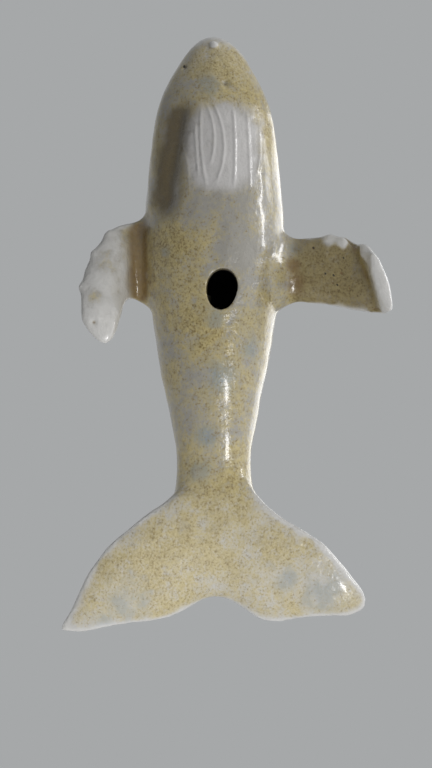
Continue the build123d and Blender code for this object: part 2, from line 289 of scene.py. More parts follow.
# Where the glaze changes on the fins and the nose, with painted shade under the left fin and painted light
# on the right fin and the nose, and the rounds of evening out that find its edges
FIN_SHADE_RISE = (FLANK_OUT + 0.5, FLANK_OUT + 4.0)
MILK_RISE = (FLANK_OUT + 1.6, FLANK_OUT + 4.0)
NOSE_PALE = (5.0, 17.0)
NOSE_PALE_SHARE = 0.85
SWELL_ROUNDS = 12
BRIM_ROUNDS = 60
HOLLOW_BLUR_ROUNDS = 2

# The sizes of the glaze's clouds and grains, as noise scales per millimetre, and its bump
CLOUD_SCALE = 0.07
DRIFT_SCALE = 0.26
SAND_SCALE = 0.75
DUST_SCALE = 1.9
BUMP_STRENGTH = 0.5
BUMP_DISTANCE = 0.0007

# The floor: its own brightness, which only the camera sees, keeps it pale far from the lamps
FLOOR_GLOW = 1.0
FLOOR_GLOW_SHARE = 0.5
FLOOR_ROUGHNESS = 0.8
FLOOR_RADIUS = 3.0
FLOOR_DROP = 0.0003

# The lamps: name, place, width and height in metres, property of the power, point lit, seen in reflections
BODY_MIDDLE = (66, 0, 14)
LAMPS = (
    ("window_lamp", (-65, 490, -32), (0.18, 0.05), "window_power", BODY_MIDDLE, True),
    ("under_lamp", (185, -10, -120), (0.1, 0.1), "under_power", (118, 0, 0), False),
    ("front_lamp", (195, 250, -370), (0.09, 0.08), "front_power", BODY_MIDDLE, True),
    ("nose_lamp", (-130, 70, -50), (0.1, 0.1), "nose_power", (8, 0, 8), False),
    ("side_lamp", (60, 690, -60), (0.8, 0.8), "side_power", BODY_MIDDLE, True),
    ("left_top_lamp", (20, 460, 470), (0.5, 0.5), "top_power", BODY_MIDDLE, True),
    ("right_top_lamp", (90, -460, 470), (0.5, 0.5), "top_power", BODY_MIDDLE, False),
)


def linear(red, green, blue):
    """A colour written in 0 to 255 as the linear colour that a shader takes."""
    shares = (red / 255, green / 255, blue / 255)
    return tuple(s / 12.92 if s <= 0.04045 else ((s + 0.055) / 1.055) ** 2.4 for s in shares)


def length_value(name, description, default):
    """A property that is a length in metres."""
    return FloatProperty(name=name, description=description, default=default, unit="LENGTH", precision=5)


def share_value(name, description, default):
    """A property that is a plain number, nought or more."""
    return FloatProperty(name=name, description=description, default=default, min=0.0)


def power_value(name, description, default):
    """A property that is a lamp's power in watts."""
    return FloatProperty(name=name, description=description, default=default, unit="POWER")


def colour_value(name, description, default):
    """A property that is a colour."""
    return FloatVectorProperty(name=name, description=description, default=default, subtype="COLOR", size=3)


class WhaleClay(bpy.types.PropertyGroup):
    grain: length_value("Grain", "Size of the skin's faces", 0.00045)
    soften: IntProperty(name="Soften", description="Rounds of smoothing all over", default=9)
    melt: IntProperty(name="Melt", description="Rounds of smoothing where clay is luted on", default=36)
    melt_reach: length_value("Melt reach", "How far from a coil the clay is melted", 0.0044)
    lump: length_value("Lump", "Depth of the hand-formed unevenness", 0.00026)
    lump_width: length_value("Lump width", "Width of the hand-formed unevenness", 0.0095)
    pleat_depth: length_value("Pleat depth", "Height of the lines between the throat pleats", 0.00023)
    pleat_ridge: length_value("Pleat ridge", "Half width of the line between two pleats", 0.00036)
    root_lift: length_value("Root lift", "Depth of the crease under the fins' roots", 0.0045)
    rim_depth: length_value("Rim depth", "Depth of the trough inside the left fin's rim", 0.0009)
    jaw_depth: length_value("Jaw depth", "Depth of the trough beside the throat", 0.0019)


class WhaleGlaze(bpy.types.PropertyGroup):
    cream: colour_value("Cream", "The pale ground of the glaze", linear(170, 167, 159))
    straw: colour_value("Straw", "The pale yellow crystals in the glaze", linear(208, 191, 130))
    ochre: colour_value("Ochre", "The yellow grains in the glaze", linear(144, 122, 64))
    # Umber also serves as painted shade beside the throat and under the left fin
    umber: colour_value("Umber", "The dark grains in the glaze", linear(84, 70, 40))
    # Amber also serves as painted shade in the creases at the fins' roots
    amber: colour_value("Amber", "Glaze that ran thick into a crease", linear(120, 92, 50))
    blue: colour_value("Blue", "Glaze that pooled thick", linear(140, 155, 166))
    # White also serves as painted light on the fins and as a painted highlight on the left fin's rim
    white: colour_value("White", "Glaze that ran thin over an edge", linear(230, 229, 226))
    throat: colour_value("Throat", "The pale patch on the throat", linear(226, 224, 223))
    # Inside is near black: painted shade on the walls inside the body and in the small pits
    inside: colour_value("Inside", "Bare clay inside the body", linear(26, 20, 15))
    roughness: share_value("Roughness", "Roughness of the glaze", 0.22)
    coat: share_value("Coat", "Strength of the glassy coat", 0.7)
    coat_roughness: share_value("Coat roughness", "Roughness of the glassy coat", 0.1)


class WhaleStage(bpy.types.PropertyGroup):
    floor: colour_value("Floor", "Colour of the floor", linear(212, 212, 211))
    backdrop: colour_value("Backdrop", "Colour behind the object", linear(166, 168, 169))
    window_power: power_value("Window", "Narrow lamp at the left", 0.4)
    side_power: power_value("Side", "Broad lamp at the left", 1.0)
    under_power: power_value("Under", "Lamp under the tail", 0.125)
    front_power: power_value("Front", "Soft lamp by the camera", 0.4)
    nose_power: power_value("Nose", "Lamp before the nose", 0.1)
    top_power: power_value("Top", "Each of two lamps above", 1.5)
    ambient: share_value("Ambient", "Light from all round", 0.07)


def only(obj):
    """Leaves obj as the one selected and active object."""
    bpy.ops.object.select_all(action="DESELECT")
    obj.select_set(True)
    bpy.context.view_layer.objects.active = obj


def ease(low, high, values):
    """Nought below low, one above high and a smooth rise between."""
    share = np.clip((values - low) / (high - low), 0.0, 1.0)
    return share * share * (3.0 - 2.0 * share)


def from_photo(across, down, level=BELLY_LEVEL):
    """The place of a pixel on the whale: behind the nose and out from the midline."""
    scale = (EYE_DEPTH + level) / PHOTO_FOCUS
    behind = EYE_BEHIND + (down - PHOTO_HEIGHT / 2) * scale
    out = EYE_OUT + (across - PHOTO_WIDTH / 2) * scale
    return behind, out


class Skin:
    """The points, normals and edges of a mesh as arrays, in the whale's own measures."""

    def __init__(self, obj):
        self.mesh = obj.data
        count = len(self.mesh.vertices)
        spots = np.empty(count * 3, np.float32)
        facing = np.empty(count * 3, np.float32)
        pairs = np.empty(len(self.mesh.edges) * 2, np.int32)
        self.mesh.vertices.foreach_get("co", spots)
        self.mesh.vertices.foreach_get("normal", facing)
        self.mesh.edges.foreach_get("vertices", pairs)
        self.points = spots.reshape(-1, 3).astype(float) / MM
        self.normals = facing.reshape(-1, 3).astype(float)
        self.edges = pairs.reshape(-1, 2)
        self.behind = NOSE_X - self.points[:, 0]
        self.out = self.points[:, 1] - MIDLINE_Y
        self.up = self.points[:, 2]
        scale = PHOTO_FOCUS / (EYE_DEPTH + self.up)
        self.across = PHOTO_WIDTH / 2 + (self.out - EYE_OUT) * scale
        self.down = PHOTO_HEIGHT / 2 + (self.behind - EYE_BEHIND) * scale

    def spot_at(self, across, down):
        """The point of the underside that the photograph shows at a pixel."""
        gap = (self.across - across) ** 2 + (self.down - down) ** 2
        gap[(self.normals[:, 2] > -0.05) | (self.up > BODY_AXIS_HEIGHT)] = np.inf
        return self.points[np.argmin(gap)]

    def dab(self, across, down, reach):
        """A soft round spot on the skin at a pixel of the photograph, one in its middle."""
        gap = self.points - self.spot_at(across, down)
        return np.exp(-np.einsum("ij,ij->i", gap, gap) / reach ** 2)

    def dabs(self, spots):
        """Several such spots, each a pixel across and down with its reach."""
        return np.max([self.dab(*spot) for spot in spots], axis=0)

    def downward(self, low, high):
        """One where the skin faces down and nought where it doesn't, with a rise between two shares."""
        return ease(low, high, -self.normals[:, 2])

    def blurred(self, values, rounds):
        """Values on the points, each evened out with its neighbours."""
        first, second = self.edges[:, 0], self.edges[:, 1]
        count = len(self.points)
        near = np.maximum(np.bincount(self.edges.ravel(), minlength=count), 1)
        for _ in range(rounds):
            total = np.bincount(first, values[second], count) + np.bincount(second, values[first], count)
            values = 0.5 * (values + total / near)
        return values

    def swelling(self, rounds):
        """How far each point stands proud of the evened-out skin: edges above nought, creases below."""
        even = np.stack([self.blurred(self.points[:, k], rounds) for k in range(3)], axis=1)
        return np.einsum("ij,ij->i", self.points - even, self.normals)

    def hollow(self):
        """One on the walls inside the body, and nought on the skin."""
        rise = self.up - BODY_AXIS_HEIGHT
        outward = self.normals[:, 1] * self.out + self.normals[:, 2] * rise
        within = (np.abs(self.out) < FLANK_OUT - CAVITY_WALL) & (self.behind > CAVITY_FRONT)
        within &= self.behind < CAVITY_BACK
        roof = CAVITY_ROOF - CAVITY_ROOF_FALL * np.maximum(self.behind - CAVITY_ROOF_FROM, 0.0)
        walls = within & (outward < 0.0) & (self.up > CAVITY_FLOOR) & (self.up < roof)
        faces = [tuple(face.vertices) for face in self.mesh.polygons]
        tree = bvhtree.BVHTree.FromPolygons([tuple(point) for point in self.points], faces)
        for index in np.nonzero(walls)[0]:
            facing = Vector(self.normals[index])
            start = Vector(self.points[index]) + facing * CAVITY_LOOK_START
            walls[index] = tree.ray_cast(start, facing)[0] is not None
        hole_wall = (self.hole_reach() < HOLE_WALL_REACH) & (self.up > HOLE_WALL_UP)
        hole_wall &= self.up < BODY_AXIS_HEIGHT
        return (walls | hole_wall).astype(float)

    def hole_reach(self):
        """How far out from the belly hole's middle, where one is its edge."""
        behind, out = from_photo(*HOLE_PIXEL)
        along = self.behind - behind
        across = self.out - out
        return np.sqrt((along / HOLE_HALF_LENGTH) ** 2 + (across / HOLE_HALF_WIDTH) ** 2)

    def pushed(self, distance):
        """Moves the points along their normals and keeps them in the CAD model's box."""
        moved = self.points + self.normals * distance[:, None]
        low, high = np.array(CAD_LOW) / MM, np.array(CAD_HIGH) / MM
        self.moved_to(np.clip(moved, low, high))

    def moved_to(self, points):
        """Puts the points at new places."""
        self.mesh.vertices.foreach_set("co", (points * MM).astype(np.float32).ravel())
        self.mesh.update()

    def written(self, name, values):
        """Keeps values on the points under a name that the glaze reads."""
        layer = self.mesh.attributes.new(name, "FLOAT", "POINT")
        layer.data.foreach_set("value", values.astype(np.float32))


def clay_copy(node):
    """A copy of a CAD node, to be melted into the skin."""
    copy = bpy.data.objects.new("clay_" + node.name, node.data.copy())
    bpy.context.scene.collection.objects.link(copy)
    return copy


def fused(lumps, name, grain):
    """All the lumps of clay as one closed skin of even faces."""
    bpy.ops.object.select_all(action="DESELECT")
    for lump in lumps:
        lump.select_set(True)
    bpy.context.view_layer.objects.active = lumps[0]
    bpy.ops.object.join()
    skin = bpy.context.view_layer.objects.active
    skin.name = name
    bpy.ops.object.mode_set(mode="EDIT")
    bpy.ops.mesh.select_all(action="SELECT")
    bpy.ops.mesh.remove_doubles(threshold=1e-6)
    bpy.ops.object.mode_set(mode="OBJECT")
    bpy.ops.mesh.customdata_custom_splitnormals_clear()
    skin.data.materials.clear()
    skin.data.remesh_voxel_size = grain
    bpy.ops.object.voxel_remesh()
    if not skin.data.polygons:
        raise RuntimeError("the clay didn't fuse")
    return skin


def smoothed(obj, rounds, weights=None):
    """Evens the skin out, by the weights where there are some."""
    only(obj)
    smooth = obj.modifiers.new("smooth", "SMOOTH")
    smooth.factor = 0.5
    smooth.iterations = rounds
    if weights is not None:
        group = obj.vertex_groups.new(name="melt")
        for index in np.nonzero(weights > 0.01)[0]:
            group.add([int(index)], float(weights[index]), "REPLACE")
        smooth.vertex_group = group.name
    bpy.ops.object.modifier_apply(modifier=smooth.name)
    obj.vertex_groups.clear()


def joint_weights(obj, nodes, reach):
    """One beside the coils that lute the pieces together, falling to nought at the reach."""
    spots = [vertex.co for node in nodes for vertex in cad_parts[node].data.vertices]
    tree = kdtree.KDTree(len(spots))
    for index, spot in enumerate(spots):
        tree.insert(spot, index)
    tree.balance()
    gaps = np.array([tree.find(vertex.co)[2] for vertex in obj.data.vertices])
    return 1.0 - ease(reach * MELT_FULL, reach, gaps)


def refined(obj, chosen):
    """Splits the chosen faces once more, for finer carving."""
    only(obj)
    bpy.ops.object.mode_set(mode="EDIT")
    bpy.ops.mesh.select_mode(type="FACE")
    bpy.ops.mesh.select_all(action="DESELECT")
    bpy.ops.object.mode_set(mode="OBJECT")
    obj.data.polygons.foreach_set("select", chosen)
    bpy.ops.object.mode_set(mode="EDIT")
    bpy.ops.mesh.subdivide(number_cuts=1)
    bpy.ops.object.mode_set(mode="OBJECT")


def head_faces(obj):
    """The faces of the underside of the head, where the finest marks are."""
    middles = np.empty(len(obj.data.polygons) * 3, np.float32)
    facing = np.empty(len(obj.data.polygons) * 3, np.float32)
    obj.data.polygons.foreach_get("center", middles)
    obj.data.polygons.foreach_get("normal", facing)
    middles = middles.reshape(-1, 3) / MM
    facing = facing.reshape(-1, 3)
    behind = NOSE_X - middles[:, 0]
    out = np.abs(middles[:, 1] - MIDLINE_Y - FINE_MIDDLE)
    chosen = (behind > FINE_FRONT) & (behind < FINE_BACK) & (out < FINE_OUT)
    return chosen & (middles[:, 2] < FINE_UP) & (facing[:, 2] < -FINE_FACING)


def throat_area(skin, reach):
    """One in the middle of the throat, falling away to its edge, whatever way the skin faces."""
    along = (skin.down - THROAT_MIDDLE[1]) / (reach * THROAT_REACH[1])
    across = (skin.across - THROAT_MIDDLE[0]) / (reach * THROAT_REACH[0])
    away = np.abs(along) ** THROAT_SQUARENESS + np.abs(across) ** THROAT_SQUARENESS
    patch = 1.0 - ease(*THROAT_EDGE, away ** (1 / THROAT_SQUARENESS))
    return patch * (skin.up < THROAT_UP)


def throat_patch(skin, reach=1.0):
    """The same, only where the skin faces down."""
    return throat_area(skin, reach) * skin.downward(0.05, 0.3)


def stroke(skin, line, width, start, end):
    """One along a curve through pixels of the photograph, falling away to its sides and ends."""
    spots = np.array([from_photo(*pixel) for pixel in line])
    curve = np.polyfit(spots[:, 0], spots[:, 1], 2)
    gap = skin.out - np.polyval(curve, skin.behind)
    first, last = spots[0, 0], spots[-1, 0]
    ends = ease(first + start[0], first + start[1], skin.behind)
    ends *= 1.0 - ease(last + end[0], last + end[1], skin.behind)
    return ends * np.exp(-((gap / width) ** 2))


def pleat_carving(skin, depth, ridge):
    """Thin raised lines along the throat, with shallow pleats between them."""
    lines = np.max([stroke(skin, line, ridge, PLEAT_START, PLEAT_END) for line in PLEAT_LINES], axis=0)
    return depth * throat_patch(skin, PLEAT_REACH) * (lines - PLEAT_SINK)


def board_flats(skin):
    """One where the flukes and the fins lay flat on the board."""
    beyond = np.maximum(skin.behind > FLUKES_AT, np.abs(skin.out) > FIN_CUT_OUT)
    return beyond * (1.0 - ease(*BOARD_LEVEL, skin.up)) * skin.downward(0.6, 0.95)


def chin(skin):
    """One on the underside of the chin, behind the pellet at its tip."""
    along = ease(*CHIN_FRONT, skin.behind) * (1.0 - ease(*CHIN_BACK, skin.behind))
    across = 1.0 - ease(*CHIN_SIDE, np.abs(skin.out - CHIN_OUT))
    return along * across * (skin.normals[:, 2] < 0.2)


def nudge_hole(obj):
    """Slides the belly hole with the skin round it to where the photograph has it."""
    skin = Skin(obj)
    behind, out = from_photo(*HOLE_PIXEL)
    away = np.hypot(skin.behind - HOLE_BEHIND, skin.out - HOLE_OUT)
    share = (1.0 - ease(*HOLE_SLIDE, away)) * (skin.up < BODY_AXIS_HEIGHT)
    along = HOLE_BEHIND - behind + HOLE_SHRINK * (skin.behind - HOLE_BEHIND)
    across = out - HOLE_OUT - HOLE_SHRINK * (skin.out - HOLE_OUT)
    slide = np.stack((along, across, np.zeros(len(share))), axis=1)
    skin.moved_to(skin.points + share[:, None] * slide)


def slabs(skin):
    """One on the flukes and the outer parts of the fins."""
    flukes = ease(*FLUKES_RISE, skin.behind)
    fins = ease(*FIN_RISE, np.abs(skin.out)) * (skin.behind < FIN_CUT_BEHIND)
    return np.maximum(flukes, FIN_SHARE * fins)


def left_fin_end(skin):
    """One on the curled end of the left fin."""
    return ease(*LEFT_FIN_END_RISE, skin.out) * (skin.behind < FIN_CUT_BEHIND)


def root_crease(skin):
    """One in the deep crease between each pectoral fin's root and the flank."""
    crease = np.zeros(len(skin.points))
    for side, coil, depth in ROOT_CREASES:
        low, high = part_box(coil)
        front, back = NOSE_X - high.x / MM, NOSE_X - low.x / MM
        along = ease(front - ROOT_CREASE_OVER, front + ROOT_CREASE_RISE, skin.behind)
        along = along * (1.0 - ease(back - ROOT_CREASE_RISE, back + ROOT_CREASE_OVER, skin.behind))
        away = side * skin.out - FLANK_OUT - ROOT_CREASE_OUT
        away = away / np.where(away < 0.0, ROOT_CREASE_INNER, ROOT_CREASE_OUTER)
        crease = np.maximum(crease, depth * along * np.exp(-(away ** 2)))
    return crease


def raise_roots(obj, clay):
    """Lifts the fins' roots, their undersides most, so that the fins hang from a deep crease."""
    skin = Skin(obj)
    crease = root_crease(skin)
    lift = crease * (ROOT_LIFT_ALL - ROOT_LIFT_UNDERSIDE * skin.normals[:, 2]) * clay.root_lift / MM
    skin.moved_to(skin.points + lift[:, None] * np.array((0.0, 0.0, 1.0)))
    smoothed(obj, clay.melt * ROOT_MELT, np.minimum(crease * ROOT_MELT_SHARE, 1.0))


def tail_corner(skin):
    """One where the stock spreads into the flukes."""
    along = 1.0 - ease(*TAIL_CORNER_ALONG, np.abs(skin.behind - TAIL_CORNER_AT))
    return along * (1.0 - ease(*TAIL_CORNER_ACROSS, np.abs(skin.out)))


def lumps_of(points, width, seed):
    """Soft unevenness between about -1 and 1."""
    shift = Vector((seed * 17.0, seed * 5.0, seed * 29.0))
    return np.array([noise.noise(Vector(point) / width + shift) for point in points])


def jaw_trough(skin, line, width):
    """One along the trough between the throat and a jaw, on the underside only."""
    return stroke(skin, line, width, JAW_START, JAW_END) * skin.downward(0.0, 0.2)


def beyond_line(skin, line):
    """How many pixels right of a line of the photograph each point stands."""
    (across, down), (end_across, end_down) = line
    run, fall = end_across - across, end_down - down
    return ((skin.across - across) * fall - (skin.down - down) * run) / math.hypot(run, fall)


def cut_away(obj, point, direction):
    """Cuts off what lies beyond a plane, on the side its direction points to, and closes the cut."""
    only(obj)
    bpy.ops.object.mode_set(mode="EDIT")
    bpy.ops.mesh.select_all(action="SELECT")
    bpy.ops.mesh.bisect(plane_co=point, plane_no=direction, use_fill=True, clear_outer=True)
    bpy.ops.object.mode_set(mode="OBJECT")
    if not obj.data.polygons:
        raise RuntimeError("nothing was left of " + obj.name)


def place(behind, out, up):
    """A point of the shared frame from the whale's own measures."""
    return Vector((NOSE_X - behind, MIDLINE_Y + out, up)) * MM


def piece_of_skin(name, cuts):
    """A closed piece of the skin, left by its cuts."""
    skin = bpy.data.objects["clay_skin"]
    piece = bpy.data.objects.new(name, skin.data.copy())
    bpy.context.scene.collection.objects.link(piece)
    for point, direction in cuts:
        cut_away(piece, point, direction)
    only(piece)
    bpy.ops.object.shade_smooth_by_angle(angle=math.radians(SMOOTH_ANGLE))
    return piece


def finished(piece, nodes):
    """Glazes a piece and puts it in the place of its CAD nodes."""
    piece.data.materials.clear()
    piece.data.materials.append(speckled_glaze())
    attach(piece, "root")
    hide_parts(*nodes)


def fin_plane(side):
    """A point of the plane that parts a pectoral fin from the body."""
    return place(0, side * FIN_CUT_OUT, 0)


def dorsal_plane():
    """A point of the sloping plane that parts the dorsal fin from the back."""
    return place(DORSAL_CUT_AT, 0, DORSAL_CUT_UP)


class WHALE_OT_clay_skin(bpy.types.Operator):
    """Melt copies of all the clay into one skin, carve it and mark where the glaze runs and where shade and
    light are painted
    """

    bl_idname = "whale.clay_skin"
    bl_label = "Clay skin"

    def execute(self, context):
        clay = context.scene.whale_clay
        obj = fused([clay_copy(node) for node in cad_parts.values()], "clay_skin", clay.grain)
        smoothed(obj, clay.soften)
        luted = [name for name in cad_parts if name.endswith(("_coil", "fin_knobs"))]
        smoothed(obj, clay.melt, joint_weights(obj, luted, clay.melt_reach))
        skin = Skin(obj)
        head = np.maximum(throat_area(skin, SOFT_THROAT_REACH), chin(skin))
        smoothed(obj, clay.melt * HEAD_MELT, head)
        smoothed(obj, clay.melt * TAIL_MELT, tail_corner(skin))
        smoothed(obj, clay.melt * BOARD_MELT, board_flats(Skin(obj)))
        smoothed(obj, clay.melt, slabs(Skin(obj)))
        smoothed(obj, clay.melt, left_fin_end(Skin(obj)))
        raise_roots(obj, clay)
        nudge_hole(obj)
        refined(obj, head_faces(obj))
        smoothed(obj, clay.soften, throat_area(Skin(obj), SOFT_THROAT_REACH))
        self.carve(obj, clay)
        self.mark_glaze(obj)
        return {"FINISHED"}

    def carve(self, obj, clay):
        """Lumps all over, the marks of the head and the rim of the left fin."""
        skin = Skin(obj)
        lump = lumps_of(skin.points, clay.lump_width / MM, 1)
        lump = lump + FINE_LUMP_SHARE * lumps_of(skin.points, FINE_LUMP_WIDTH, 2)
        carving = lump * clay.lump / MM
        carving += pleat_carving(skin, clay.pleat_depth / MM, clay.pleat_ridge / MM)
        for line, width, share in JAW_TROUGHS:
            carving -= share * clay.jaw_depth / MM * jaw_trough(skin, line, width)
        for across, down, reach, depth in PITS:
            carving -= depth * skin.dab(across, down, reach)
        for across, down, reach, height in LUMPS:
            carving += height * skin.dab(across, down, reach)
        from_trough = (beyond_line(skin, RIM_LINE) + RIM_TROUGH_BEFORE) / RIM_TROUGH_WIDTH
        inside_rim = np.exp(-from_trough ** 2) * (skin.out > FIN_CUT_OUT)
        carving -= clay.rim_depth / MM * inside_rim * skin.downward(0.0, 0.3)
        skin.pushed(carving * (1.0 - skin.hollow()))

    def mark_glaze(self, obj):
        """Writes where the glaze runs thin, pools, turns pale or stops, and where shade and light are
        painted.
        """
        skin = Skin(obj)
        skin.written("swell", skin.swelling(SWELL_ROUNDS))
        at_hole = (1.0 - ease(*HOLE_BRIM, skin.hole_reach())) * (skin.up < HOLE_BRIM_UP)
        skin.written("brim", skin.swelling(BRIM_ROUNDS) * (1.0 - HOLE_BRIM_SHARE * at_hole))
        # The walls inside the body, bare of glaze and painted near black as shade
        skin.written("hollow", skin.blurred(skin.hollow(), HOLLOW_BLUR_ROUNDS))
        skin.written("throat", skin.blurred(throat_patch(skin), THROAT_BLUR_ROUNDS))
        skin.written("pool", skin.dabs(BLUE_POOLS))
        # Painted shade in the small pits
        skin.written("prick", skin.dabs(PIT_SHADES))
        # Painted shade along the trough on the left of the throat
        line, width, _ = JAW_TROUGHS[0]
        skin.written("jaw", jaw_trough(skin, line, width * JAW_SHADE_WIDTH))
        fins = skin.behind < FIN_CUT_BEHIND
        # Painted shade on the underside of the left fin
        brown = ease(*FIN_SHADE_RISE, skin.out) * fins
        skin.written("rich", brown * skin.downward(0.0, 0.4))
        # Painted shade in the crease under each fin's root, and in spots at the left fin's root
        roots = np.maximum(root_crease(skin), skin.dabs(ROOT_SHADES))
        skin.written("root", roots * skin.downward(-0.5, 0.1))
        tints = np.zeros(len(skin.points))
        for across, down, reach, strength in TINTS:
            tints += strength * skin.dab(across, down, reach)
        skin.written("tint", tints)
        # White glaze on the right fin's lobe, made brighter as painted light, and the left fin's rim, white
        # partly as painted highlight
        lobe = ease(*MILK_RISE, -skin.out) * fins
        rim = ease(*RIM_WHITE, beyond_line(skin, RIM_LINE)) * (skin.out > 0.0) * fins
        for across, down, reach in YELLOW_PATCHES:
            lobe *= 1.0 - YELLOW_PATCH_SHARE * skin.dab(across, down, reach)
        skin.written("milk", np.maximum(lobe, rim))
        # Paler glaze on the nose and the flukes, partly painted light
        nose = NOSE_PALE_SHARE * (1.0 - ease(*NOSE_PALE, skin.behind))
        skin.written("pale", np.maximum(nose, ease(*FLUKES_PALE_RISE, skin.behind)))


class WHALE_OT_body(bpy.types.Operator):
    """Part the two halves of the body from the skin, the head half and the tail half"""

    bl_idname = "whale.body"
    bl_label = "Body"

    def execute(self, context):
        sides = [(fin_plane(1), LEFTWARD), (fin_plane(-1), -LEFTWARD)]
        seam = place(SEAM_AT, 0, 0)
        head = piece_of_skin("whale_head", [(seam, -NOSEWARD)] + sides)
        coils = ("left_fin_coil", "right_fin_coil")
        finished(head, ("head_pot", "head_knobs", "blowhole_ridge") + coils)
        flukes = place(FLUKES_AT, 0, 0)
        cuts = [(seam, NOSEWARD), (flukes, -NOSEWARD), (dorsal_plane(), DORSAL_UP)]
        tail = piece_of_skin("whale_tail", cuts + sides)
        coils = ("body_seam_coil", "tail_seam_coil", "dorsal_coil")
        finished(tail, ("tail_pot",) + coils)
        return {"FINISHED"}


class WHALE_OT_flukes(bpy.types.Operator):
    """Part the tail flukes from the skin"""

    bl_idname = "whale.flukes"
    bl_label = "Flukes"

    def execute(self, context):
        flukes = piece_of_skin("whale_flukes", [(place(FLUKES_AT, 0, 0), NOSEWARD)])
        finished(flukes, ("tail_flukes",))
        return {"FINISHED"}


class WHALE_OT_pectoral_fins(bpy.types.Operator):
    """Part the two pectoral fins from the skin"""

    bl_idname = "whale.pectoral_fins"
    bl_label = "Pectoral fins"

    def execute(self, context):
        for side, name in ((1, "left_fin"), (-1, "right_fin")):
            cuts = [(place(FIN_CUT_BEHIND, 0, 0), -NOSEWARD), (fin_plane(side), LEFTWARD * -side)]
            fin = piece_of_skin("whale_" + name, cuts)
            finished(fin, (name, name + "_knobs"))
        return {"FINISHED"}


class WHALE_OT_dorsal_fin(bpy.types.Operator):
    """Part the small fin on the back from the skin"""

    bl_idname = "whale.dorsal_fin"
    bl_label = "Dorsal fin"

    def execute(self, context):
        ends = [(place(SEAM_AT, 0, 0), NOSEWARD), (place(FLUKES_AT, 0, 0), -NOSEWARD)]
        fin = piece_of_skin("whale_dorsal_fin", ends + [(dorsal_plane(), -DORSAL_UP)])
        finished(fin, ("dorsal_fin",))
        return {"FINISHED"}


class Wire:
    """One socket of a material: sums on it add Math nodes."""

    def __init__(self, tree, socket=None):
        self.tree = tree
        self.socket = socket

    def node(self, kind, settings=None, sockets=None, out=0):
        """Adds a node, with its settings and what its sockets take, and gives one of its outputs."""
        made = self.tree.nodes.new(kind)
        for name, value in (settings or {}).items():
            setattr(made, name, value)
        for name, value in (sockets or {}).items():
            if isinstance(value, Wire):
                self.tree.links.new(value.socket, made.inputs[name])
            else:
                made.inputs[name].default_value = value
        return Wire(self.tree, made.outputs[out])

    def maths(self, operation, first, second):
        """The outcome of one Math node."""
        return self.node("ShaderNodeMath", {"operation": operation}, {0: first, 1: second})

    def __add__(self, other):
        return self.maths("ADD", self, other)

    def __radd__(self, other):
        return self.maths("ADD", other, self)

    def __sub__(self, other):
        return self.maths("SUBTRACT", self, other)

    def __rsub__(self, other):
        return self.maths("SUBTRACT", other, self)

    def __mul__(self, other):
        return self.maths("MULTIPLY", self, other)

    def between(self, low, high):
        """Nought at low, one at high and a smooth rise between."""
        ends = {"Value": self, "From Min": low, "From Max": high}
        return self.node("ShaderNodeMapRange", {"interpolation_type": "SMOOTHSTEP"}, ends)

    def blend(self, first, second):
        """The first colour where this is nought and the second where it is one."""
        ends = {0: self, 6: opaque(first), 7: opaque(second)}
        return self.node("ShaderNodeMix", {"data_type": "RGBA"}, ends, out=2)


def opaque(colour):
    """A colour as a Mix node takes it."""
    return colour if isinstance(colour, Wire) else (*colour, 1.0)


